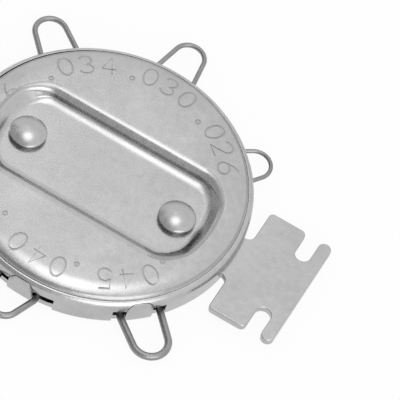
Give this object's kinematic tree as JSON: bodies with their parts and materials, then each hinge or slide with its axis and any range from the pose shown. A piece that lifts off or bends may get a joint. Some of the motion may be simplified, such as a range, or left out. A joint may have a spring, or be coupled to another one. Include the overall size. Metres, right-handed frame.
{
  "type": "spark plug gap gauge",
  "caption": "Pocket gap gauge: a round pressed steel body with wire gauge loops round its rim and a slotted tab for bending a plug's electrode.",
  "frame": {"origin": "under the middle of the whole gauge's box, on the surface that it rests on", "axes": "+X along the bending tab, away from the disc; +Z out of the numbered face; +Y completes the right-handed set"},
  "size_m": [0.0654, 0.0598, 0.0058],
  "materials": {
    "plated_sheet": "satin plated steel with a fine mottled grain",
    "plated_tab": "satin plated steel, stamped",
    "rivet_steel": "smooth plated steel",
    "wire_steel": "drawn steel wire"
  },
  "bodies": {
    "root": {"front_shell": "plated_sheet", "back_shell": "plated_sheet", "bending_tab": "plated_tab", "rivet_tab_side": "rivet_steel", "rivet_far_side": "rivet_steel", "wire_gauge_045": "wire_steel", "wire_gauge_040": "wire_steel", "wire_gauge_038": "wire_steel", "wire_gauge_036": "wire_steel", "wire_gauge_034": "wire_steel", "wire_gauge_030": "wire_steel", "wire_gauge_026": "wire_steel"}
  },
  "joints": []
}
